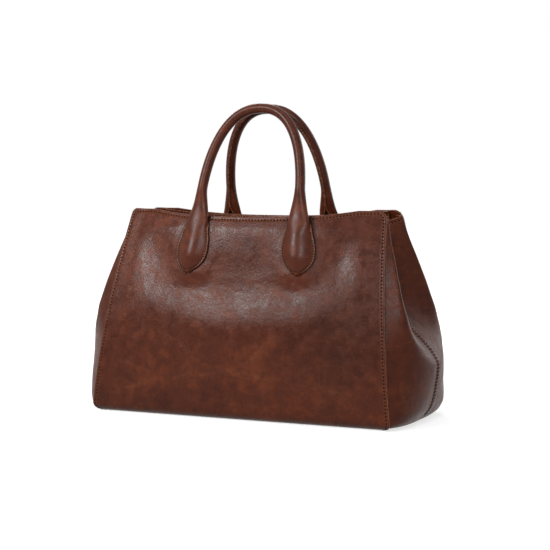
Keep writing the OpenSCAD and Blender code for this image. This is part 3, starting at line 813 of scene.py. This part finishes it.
def gusset_grid():
    """The front right half with its lap under the panel, distances to the seam and row heights."""
    rim = 1 - np.array(GUSSET_RIM_MARKS[::-1]) / GUSSET_TOP
    low = np.linspace(0, 1 - GUSSET_RIM_BAND / GUSSET_TOP, GUSSET_ROWS - len(rim))
    h = np.concatenate([low, rim])
    t_fine = np.linspace(0, 1, LINE_STEPS)
    rows, to_seam = [], []
    for hi in h:
        along = along_line(gusset_points(hi, t_fine))
        total = along[-1]
        marks = np.concatenate([np.linspace(0, total - SEAM_BAND, GUSSET_COLS),
                                total - np.array(SEAM_MARKS[::-1])])
        z0 = gusset_z(hi, 0.0)
        x = half_w(z0) - LAPS
        lap = np.stack([x, tuck(z0) - panel_y(x, max(z0, FOLD_R)), np.full(len(x), z0)], -1)
        rows.append(np.vstack([lap, gusset_points(hi, np.interp(marks, along, t_fine))]))
        to_seam.append(np.concatenate([np.full(len(x), FAR), total - marks]))
    foot = rows[0].copy()
    foot[:, 0], foot[:, 2] = half_w(0.0) - SEAM_LAP, GUSSET_FOOT
    return np.array([foot] + rows), np.array([np.full(len(foot), FAR)] + to_seam), np.append(0, h)


gusset_base, to_seam, gusset_h = gusset_grid()
gusset_normal = grid_normals(gusset_base)
h_row = gusset_h[:, None]
col_t = np.linspace(0, 1, gusset_base.shape[1])[None, :]
to_rim = (1 - h_row) * GUSSET_TOP
near_seam = to_seam < FAR / 2
seam_col = gusset_base.shape[1] - 1 - SEAM_MARKS.index(SEAM_STITCH)
rim_row = len(gusset_base) - 1 - GUSSET_RIM_MARKS.index(STITCH_IN)

for side, sx in SIDES.items():
    for face, sy in FACES.items():
        seed = 50 + 7 * sx + 3 * sy
        flip = (sx, sy, 1)
        mirrored = gusset_base * flip
        soft = 0.5 * waves(mirrored, 30, seed) + 0.16 * waves(mirrored, 12, seed + 1)
        keep = smooth((h_row - 0.02) / 0.06) * smooth(to_rim / 14) * smooth(to_seam / 14)
        keep = keep * smooth((col_t - 0.12) / 0.16)
        lip = 0.42 * bump(to_seam - 1.7, 1.5) - 0.9 * bump(to_seam, 0.55)
        lip = lip - 0.22 * bump(to_seam - SEAM_STITCH, 0.6)
        lip = lip * smooth((h_row - 0.01) / 0.02) * near_seam
        groove = -0.30 * bump(to_rim - STITCH_IN, 0.75) * (col_t > 0.06)
        outer = gusset_base + gusset_normal * (soft * keep + lip + groove)[..., None]
        outer[:, -1, 1] = np.minimum(outer[:, -1, 1], -SEAM_GAP / 2)
        # Warm lighter colour on the seam lips, the rim edge and the rim's stitch line: partly
        # rubbed wear, partly painted highlight
        wear = near_seam * (0.55 * bump(to_seam - 0.6, 0.9) + 0.25 * bump(to_seam - 1.6, 0.8))
        wear = wear + 0.7 * bump(to_rim - 0.2, 1.0) + 0.75 * bump(to_rim - STITCH_IN, 1.0)
        # Painted shade in the fold's valley towards the centre seam, and in the seam itself
        dirt = 0.6 * smooth((h_row - 0.42) / 0.16) * smooth((col_t - 0.70) / 0.22)
        dirt = np.maximum(dirt, 0.6 * bump(to_seam, 0.6) * near_seam)
        crease = 0.2 * smooth(waves(mirrored, 22, seed + 4) - 0.3) * keep
        name = f"{side}_gusset_{face}"
        add_sheet(name + "_leather", outer, GUSSET_T, [gusset_leather, painted_edge], flip,
                  "body_leather", name, crease=crease, wear=wear, dirt=dirt)
        normals = grid_normals(outer)
        for row in (np.s_[4:-2, seam_col], np.s_[rim_row, 5:-4]):
            stitches(outer[row], normals[row], flip, r=0.64, hole_r=0.38)


# Facings inside the rim
def wall_band(low, high, shares, rows, depth):
    """A band of the front wall between two heights, behind its outer face, and its normals."""
    z = lerp(low, high, rows[:, None]) + 0 * shares
    x = shares * half_w(z)
    grid = np.stack([x, -panel_y(x, z), z], -1)
    n = grid_normals(grid)
    return grid - n * np.asarray(depth)[..., None], n


BAND_SHARE = 0.9
facing_shares = np.linspace(-BAND_SHARE, BAND_SHARE, 110)
facing_marks = np.array([4.6, 4.1, 3.75, STITCH_IN, 3.05, 2.7, 2.2, 1.5, 0.8, 0.0])
facing_rows = np.unique(np.concatenate([np.linspace(0, 0.86, 18), [0.03, 0.06, 0.09, 0.12],
                                        1 - facing_marks / FACING_H]))
from_top, from_low = (1 - facing_rows)[:, None] * FACING_H, facing_rows[:, None] * FACING_H
depth = FACING_DEPTH - 0.75 * smooth((7 - from_top) / 5)
facing_outer, _ = wall_band(rim_flat(facing_shares) - FACING_H, rim_flat(facing_shares) - 0.25,
                            facing_shares, facing_rows, depth)
facing_thick = FACING_DEPTH + FACING_T - depth - 0.25 * bump(from_top - STITCH_IN, 0.7)
facing_thick = facing_thick - 0.22 * bump(from_low - STITCH_IN, 0.7)
facing_inner = facing_outer - grid_normals(facing_outer) * facing_thick[..., None]
facing_normals = -grid_normals(facing_inner)
for wall, sy in WALLS.items():
    add_sheet(f"{wall}_facing_leather", facing_outer, facing_thick, [inner_leather, painted_edge],
              (1, sy, 1), "facing_leather", f"{wall}_facing", edge_r=0.5)
    for at in (STITCH_IN, FACING_H - STITCH_IN):
        row = np.argmin(np.abs(from_top - at))
        stitches(facing_inner[row, 2:-2], facing_normals[row, 2:-2], (1, sy, 1), r=0.42,
                 hole_r=0.85)

# Linings: cloth with soft wrinkles
LINING_LAP = 6.0
lining_rows = np.linspace(0, 1, 60)
base, n = wall_band(FOLD_R + LINING_GAP, BODY_H - RIM_SAG - FACING_H + LINING_LAP,
                    np.linspace(-BAND_SHARE, BAND_SHARE, 90), lining_rows, LINING_DEPTH)
keep = (smooth(lining_rows / 0.1) * smooth((1 - lining_rows) / 0.22))[:, None]
for wall, sy in WALLS.items():
    folds = np.clip(0.5 + 0.5 * waves(base * (1, 1, 0.35), 22, 80 + sy), 0, 1.3)
    obj = add_sheet(f"{wall}_lining_cloth", base - n * (1.5 * folds * keep)[..., None], LINING_T,
                    [twill], (1, sy, 1), "lining_cloth", f"{wall}_lining", edge_r=0.3)

rows_at = np.nonzero((gusset_h > 0.065) & (gusset_h < 0.984))[0][::2]
depth = GUSSET_T + LINING_GAP
front_half = (gusset_base - gusset_normal * depth)[rows_at, 5:-9:2]
front_half[..., 1] = np.minimum(front_half[..., 1], -1.2)
seam = gusset_base[rows_at, -1:].copy()
seam[..., 0] -= depth / np.maximum(0.45, np.abs(gusset_normal[rows_at, -1:, 0]))
seam[..., 1] = 0
lining_grid = np.concatenate([front_half, seam, front_half[:, ::-1] * (1, -1, 1)], 1)
for side, sx in SIDES.items():
    obj = add_sheet(f"{side}_lining_cloth", lining_grid, LINING_T, [twill], (sx, 1, 1),
                    "lining_cloth", f"{side}_lining", edge_r=0.3)

BASE_LINING_HALF_X, BASE_LINING_HALF_Y, BASE_LINING_R, BASE_LINING_Z = 165.0, 66.0, 12.0, 6.75
u, v = np.meshgrid(np.linspace(-1, 1, 84), np.linspace(-1, 1, 36))
p, q = corner_round(BASE_LINING_HALF_X * (1 - np.abs(u)), BASE_LINING_HALF_Y * (1 - np.abs(v)),
                    BASE_LINING_R)
grid = np.stack([np.sign(u) * (BASE_LINING_HALF_X - p), np.sign(v) * (BASE_LINING_HALF_Y - q),
                 np.full_like(u, BASE_LINING_Z + LINING_T)], -1)
grid[..., 2] += np.clip(0.25 + 0.25 * waves(grid, 26, 91), 0, 0.6) * smooth(p / 18) * smooth(q / 18)
obj = add_sheet("base_lining_cloth", grid, LINING_T, [twill], (1, 1, 1), "lining_cloth",
                "base_lining", edge_r=0.3)

# Handles: one strip of leather each, rolled round a filler and opened into a tab at both ends.
# A column's mark is its place across the strip, from the middle (0) to the edge (1)
STRIP_MARKS = np.array([1.0, 0.96, 0.925, 0.90, 0.875, 0.85, 0.82, 0.79, 0.75, 0.70, 0.64, 0.57,
                        0.49, 0.40, 0.31, 0.22, 0.14, 0.07])
STRIP = np.concatenate([-STRIP_MARKS, [0.0], STRIP_MARKS[::-1]])
MIDDLE = len(STRIP) // 2
FLANGE, FLANGE_STITCH, FIN_STITCH, TAB_STITCH, HANDLE_PITCH = 0.925, 0.875, 0.95, 2.1, 2.9
ROLL_START_Z, ROLL_SHUT_Z, FIN_HALF, FIN_REACH = 203.0, 229.0, 1.15, 1.3
JOIN_LOW, JOIN_HIGH, FOOT_DEPTH, NECK_DEPTH = 197.0, 217.0, 3.25, 3.6
NECK_H, NECK_EASE, NECK_HALF_W = 45.0, 1.4, TAB_HALF_W * TAB_WIDTH_SHARES[-1]
ARCH_POWER, ARCH_ROWS, LEG_TOP_Z = 2 / 2.3, 132, 225.0
DOME_SHARE, DOME_POWER, TIP_CROWN = 0.88, 1.15, 0.5


def tab_profile(c):
    """Height of the dome across a tab: flat along the stitched edge, crowned in the middle."""
    inner = np.clip(np.abs(c) / DOME_SHARE, 0, 1)
    return (1 - inner**2) ** DOME_POWER


def handle_y(z):
    return HANDLE_Y - (z - BODY_H) * math.tan(HANDLE_LEAN)


def tab_row(z, side):
    """Points of a row of the left (side -1) or right tab."""
    k = np.clip((z - TAB_TIP_Z) / TAB_LENGTH, 0, 1)
    crown = lerp(TIP_CROWN, TAB_CROWN, smooth(k / 0.42) ** 0.7) * smooth(k / 0.10)
    z0 = np.full_like(STRIP, z - TAB_CROWN * math.sin(HANDLE_LEAN) * k)
    # The strip's columns run to the right on the left leg, and to the left on the right leg
    x = side * (tab_axis(z0) - STRIP * tab_half(k))
    base = np.stack([x, -panel_y(x, z0) - LAYER_GAP, z0], -1)
    return base + np.outer(TAB_EDGE_T + crown * tab_profile(STRIP), LEAN_OUT)


def neck_share(z):
    """0 where the tab ends, 1 where the handle is round."""
    return 1 - (1 - np.clip((z - TAB_TOP_Z) / NECK_H, 0, 1)) ** NECK_EASE


def ridge(z, side, line_point):
    """Front line of the strip: on the tab low down, then in front of the handle's own line."""
    roll = line_point + LEAN_OUT * lerp(FOOT_DEPTH, HANDLE_R, neck_share(z))
    share = smooth((z - JOIN_LOW) / (TAB_TOP_Z + NECK_H - JOIN_LOW))
    return lerp(tab_row(z, side)[MIDDLE], roll, share)


def section(z):
    """Across and outward place of each column of the rolled handle, from its front line. The roll
    is closed by a sewn fin at the back, and opens towards the tab."""
    a, b = lerp(NECK_HALF_W, HANDLE_R, neck_share(z)), lerp(NECK_DEPTH, HANDLE_R, neck_share(z))
    shut = smooth((z - ROLL_START_Z) / (ROLL_SHUT_Z - ROLL_START_Z))
    full = math.pi - math.asin(min(1.0, FIN_HALF / a))
    end = lerp(math.radians(92), full, shut**0.8)
    turn = np.clip(np.abs(STRIP) / FLANGE, 0, 1) * end
    past = np.clip((np.abs(STRIP) - FLANGE) / (1 - FLANGE), 0, 1) * FIN_REACH
    heading = math.pi / 2 * shut
    u = a * np.sin(turn) + past * math.cos(heading)
    v = b * np.cos(turn) - b - past * math.sin(heading)
    return np.sign(STRIP) * u * a / max(u.max(), a), v


def leg_row(z, side):
    """A row of the strip below the arch: tab, neck or roll."""
    tab = tab_row(z, side)
    if z <= JOIN_LOW:
        return tab
    u, v = section(z)
    rolled = np.outer(u, (-side, 0, 0)) + np.outer(v, LEAN_OUT)
    share = smooth((z - JOIN_LOW) / (JOIN_HIGH - JOIN_LOW))
    line_point = np.array([side * tab_axis(z), -handle_y(z), z])
    return ridge(z, side, line_point) + lerp(tab - tab[MIDDLE], rolled, share)


def arch_rows():
    """Rows over the arch, a rounded box shape, evenly spaced from left to right."""
    turn = np.radians(np.linspace(180, 0, 3001))
    c, s = np.cos(turn), np.sin(turn)
    x = HANDLE_SPREAD / 2 * np.sign(c) * np.abs(c) ** ARCH_POWER
    z = lerp(BODY_H, HANDLE_TOP, np.abs(s) ** ARCH_POWER)
    line = np.stack([x, -handle_y(z), z], -1)
    along = along_line(line)
    points = pick(np.linspace(0, along[-1], ARCH_ROWS), along, line)
    rows = []
    for k, (p, way) in enumerate(zip(points, unit(np.gradient(points, axis=0)))):
        u, v = section(p[2])
        across = unit(np.cross(way, LEAN_OUT))
        front = ridge(p[2], -1 if k < ARCH_ROWS / 2 else 1, p)
        rows.append((p[2], front + np.outer(u, across) + np.outer(v, LEAN_OUT)))
    return rows


# Rows of the strip from the left tab's tip, over the arch, to the right tab's tip
leg_zs = np.concatenate([TAB_TIP_Z + np.array([0.0, 1.0, 2.0, 3.0, 4.1]),
                         TAB_TIP_Z + np.linspace(5.4, 44.0, 25), np.arange(202.4, LEG_TOP_Z, 1.4)])
left, right = [[(z, leg_row(z, side)) for z in leg_zs] for side in (-1, 1)]
stations = left + arch_rows() + right[::-1]
strip_grid = np.array([row for _, row in stations])
strip_z = np.array([z for z, _ in stations])
strip_row = np.arange(len(strip_z))


def bend(obj, sy, face):
    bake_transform(obj)


def tab_height_share(i):
    return (strip_z[i] - TAB_TIP_Z) / TAB_LENGTH


def stitch_inset(i):
    """How far in along its row a stitch of the tab lies, to be TAB_STITCH in from the outline."""
    k, step = tab_height_share(i), 0.01
    slope = (tab_half(k + step) - tab_half(k - step)) / (2 * step * TAB_LENGTH)
    return TAB_STITCH * math.hypot(1, slope)


def offset_point(grid, i, c):
    """Point of a row of the tab, its stitch inset away from the edge on column c's side."""
    line = grid[i, : MIDDLE + 1] if c < MIDDLE else grid[i, MIDDLE:][::-1]
    return pick([stitch_inset(i)], along_line(line), line)[0]


def handle_piece(face, sy):
    """The leather of a handle, with its threads and needle holes."""
    flip = (1, sy, 1)
    in_tab = smooth((TAB_TOP_Z + 8 - strip_z) / 10)[:, None]
    edge = np.abs(STRIP)[None, :]
    groove = -0.26 * bump(edge - FLANGE_STITCH, 0.045) * in_tab
    soft = 0.03 * waves(strip_grid * flip, 24, 120 + sy) * (1 - smooth((edge - 0.7) / 0.2))
    grid = strip_grid + grid_normals(strip_grid) * (groove + soft)[..., None]
    thick = lerp(TAB_EDGE_T - 0.1, WRAP_T - 0.15, smooth((strip_z - ROLL_START_Z) / 18))[:, None]
    # Lighter colour at the strip's edge and along the tab stitches: partly rubbed wear, partly
    # painted highlight on the bevel
    wear = 0.7 * bump(edge - 1.0, 0.035) + 0.70 * bump(edge - 0.885, 0.05) * in_tab
    build = Build()
    shell(build, grid, thick, edge_r=0.7, wear=wear)
    obj = build.finish(f"{face}_handle_leather", [handle_leather, painted_edge], flip)
    bend(obj, sy, face)
    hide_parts(f"{face}_handle_wrap", f"{face}_right_tab", f"{face}_left_tab")
    threads, holes = Build(), Build()
    normals = grid_normals(grid)
    column = np.argmin(np.abs(STRIP + FLANGE_STITCH))
    left_tab = strip_row[(strip_z < TAB_TOP_Z) & (strip_row < len(strip_row) / 2)]
    right_tab = strip_row[(strip_z < TAB_TOP_Z) & (strip_row > len(strip_row) / 2)]
    for tab in (left_tab, right_tab[::-1]):
        # Up one side of the tab, round its tip and up the other side
        rows = [i for i in tab if tab_half(tab_height_share(i)) - stitch_inset(i) > 0.4]
        path = [(i, len(STRIP) - 1 - column) for i in rows[::-1]] + [(i, column) for i in rows]
        points = np.array([offset_point(grid, i, c) for i, c in path])
        stitches(points, normals[tuple(np.array(path).T)], flip, threads, holes,
                 pitch=HANDLE_PITCH, r=0.60, hole_r=0.35)
    fin = np.nonzero(strip_z > ROLL_SHUT_Z - 1)[0]
    column = np.argmin(np.abs(STRIP + FIN_STITCH))
    for c in (column, len(STRIP) - 1 - column):
        stitches(grid[fin, c], normals[fin, c], flip, threads, holes,
                 pitch=HANDLE_PITCH, r=0.26, lift=0.05, hole_r=0.36)
    for made, kind, material in ((threads, "threads", thread), (holes, "holes", hole)):
        obj = made.finish(f"{face}_handle_{kind}", [material])
        bend(obj, sy, face)


FILLER_LOW_Z, FILLER_EASE_H, FILLER_SIDES, STRAND_TURN, STRAND_SHARE = 209.0, 34.0, 14, 3.0, 0.06
FILLER_R, FILLER_END_W, FILLER_END_T, FILLER_GAP = 3.9, 7.0, 1.2, 0.1


def filler(face, sy):
    """The rope inside a handle: three twisted strands, flattened at its ends."""
    inside = strip_z > FILLER_LOW_Z
    wide = smooth((strip_z[inside] - TAB_TOP_Z) / FILLER_EASE_H)
    a, b = lerp(FILLER_END_W, FILLER_R, wide), lerp(FILLER_END_T, FILLER_R, wide)
    centres = strip_grid[inside, MIDDLE] - np.outer(WRAP_T + b + FILLER_GAP, LEAN_OUT)
    across = unit(np.cross(unit(np.gradient(centres, axis=0)), LEAN_OUT))
    angle = np.arange(FILLER_SIDES) * 2 * math.pi / FILLER_SIDES
    strand = 1 + STRAND_SHARE * np.cos(3 * angle - along_line(centres)[:, None] / STRAND_TURN)
    grid = centres[:, None] + (a[:, None] * strand * np.cos(angle))[..., None] * across[:, None]
    grid = grid + (b[:, None] * strand * np.sin(angle))[..., None] * LEAN_OUT
    build = Build()
    build.add(grid, ring_faces(len(grid), FILLER_SIDES))
    ring = np.arange(FILLER_SIDES)
    build.link([ring[::-1], ring + (len(grid) - 1) * FILLER_SIDES])
    obj = build.finish(f"{face}_handle_filler", [filler_fibre], (1, sy, 1))
    bend(obj, sy, face)
    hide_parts(f"{face}_handle_core")


for face, sy in FACES.items():
    handle_piece(face, sy)
    filler(face, sy)

place(body_threads.finish("body_threads", [thread]), "body_leather")
place(body_holes.finish("body_needle_holes", [hole]), "body_leather")

# CAD nodes that stay, with their own materials
board_nodes = ["base_board"] + [f"{face}_{side}_patch" for face in FACES for side in SIDES]
snap_nodes = [f"{face}_snap{part}" for part in ("", "_washer") for face in FACES]
for names, material in ((board_nodes, board_stock), (snap_nodes, snap_metal)):
    for name in names:
        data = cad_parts[name].data
        data.materials.clear()
        data.materials.append(material)


def add_object(name, data, axes=((1, 0, 0), (0, 1, 0), (0, 0, 1)), at=(0, 0, 0)):
    """Puts an object into the scene with its own axes, in metres."""
    obj = bpy.data.objects.new(name, data)
    bpy.context.scene.collection.objects.link(obj)
    rows = [[axis[k] for axis in axes] + [at[k]] for k in range(3)]
    obj.matrix_world = Matrix(rows + [[0, 0, 0, 1]])
    return obj


# Camera: the photograph's viewing angle
AZIMUTH, PITCH = math.radians(24.36), math.radians(3.86)
AIM_Z, DISTANCE, SHIFT_RIGHT, SHIFT_UP = 120.0, 1668.0, 11.73, 31.65
SENSOR_W, LENS_SHARE = 36.0, 1500 / 550
right = np.array([math.cos(AZIMUTH), math.sin(AZIMUTH), 0])
level = np.array([-math.sin(AZIMUTH), math.cos(AZIMUTH), 0])
ahead = level * math.cos(PITCH) + np.array([0, 0, -math.sin(PITCH)])
above = level * math.sin(PITCH) + np.array([0, 0, math.cos(PITCH)])
eye = np.array([0, 0, AIM_Z]) - DISTANCE * ahead + SHIFT_RIGHT * right + SHIFT_UP * above
camera = add_object("camera", bpy.data.cameras.new("camera"), (right, above, -ahead), eye * MM)
camera.data.sensor_width, camera.data.lens = SENSOR_W, SENSOR_W * LENS_SHARE
camera.data.clip_start, camera.data.clip_end = 0.05, 60.0
bpy.context.scene.camera = camera

# Studio: pale floor, plain soft light
LAMP_AIM = np.array([0, 0, 0.13])


def lamp(name, azimuth, elevation, distance, size, watts):
    """An area light that points at the bag: angles in degrees, sizes in metres."""
    data = bpy.data.lights.new(name, "AREA")
    data.shape, data.energy = "RECTANGLE", watts
    data.size, data.size_y = size
    a, e = math.radians(azimuth), math.radians(elevation)
    back = np.array([math.sin(a) * math.cos(e), -math.cos(a) * math.cos(e), math.sin(e)])
    side = unit(np.cross((0, 0, 1.0), back))
    add_object(name, data, (side, np.cross(back, side), back), LAMP_AIM + back * distance)


lamp("key_light", -33, 32, 1.5, (0.36, 0.36), 18.0)
lamp("fill_light", 22, 30, 1.5, (0.3, 0.5), 10.0)
lamp("side_light", 145, 20, 1.6, (0.6, 0.9), 6.0)
lamp("top_light", 20, 78, 1.6, (1.0, 1.0), 5.0)
lamp("rear_light", 215, 35, 1.7, (0.9, 0.9), 11.0)


def seen_rays(tree):
    """1 for camera, glossy and transmission rays, and 0 for the others."""
    path = node(tree, "LightPath")
    both = math_node(tree, "ADD", path.outputs["Is Camera Ray"], path.outputs["Is Glossy Ray"])
    made = math_node(tree, "ADD", both, path.outputs["Is Transmission Ray"])
    return math_node(tree, "MINIMUM", made, 1.0)


# The surroundings are white where they are seen, and light the bag more weakly
WORLD_LEVEL = 0.28
world = bpy.data.worlds.new("studio")
bpy.context.scene.world = world
tree = empty_tree(world)
strength = math_node(tree, "MULTIPLY", seen_rays(tree), 1 - WORLD_LEVEL)
strength = math_node(tree, "ADD", strength, WORLD_LEVEL)
background = node(tree, "Background", {"Color": shade(1, 1, 1), "Strength": strength})
node(tree, "OutputWorld", {0: background.outputs[0]})

FLOOR_HALF, FLOOR_Z = 6.0, -0.0006
floor_mesh = bpy.data.meshes.new("floor")
floor_mesh.from_pydata([(x * FLOOR_HALF, y * FLOOR_HALF, 0)
                        for x, y in ((-1, -1), (1, -1), (1, 1), (-1, 1))], [], [(0, 1, 2, 3)])
floor = add_object("floor", floor_mesh, at=(0, 0, FLOOR_Z))
floor_material = bpy.data.materials.new("pale_floor")
tree = empty_tree(floor_material)
diffuse = node(tree, "BsdfDiffuse", {"Color": shade(0.45, 0.45, 0.45)})
away = node(tree, "VectorMath", {0: object_place(tree)}, operation="LENGTH")
fade = span(tree, away.outputs["Value"], 0.25, 1.3, 0.70, 1.0)
strength = math_node(tree, "MULTIPLY", seen_rays(tree), fade)
glow = node(tree, "Emission", {"Color": shade(1, 1, 1), "Strength": strength})
both = node(tree, "AddShader", {0: diffuse.outputs[0], 1: glow.outputs[0]})
node(tree, "OutputMaterial", {0: both.outputs[0]})
floor_mesh.materials.append(floor_material)

bpy.context.scene.view_settings.view_transform = "Standard"
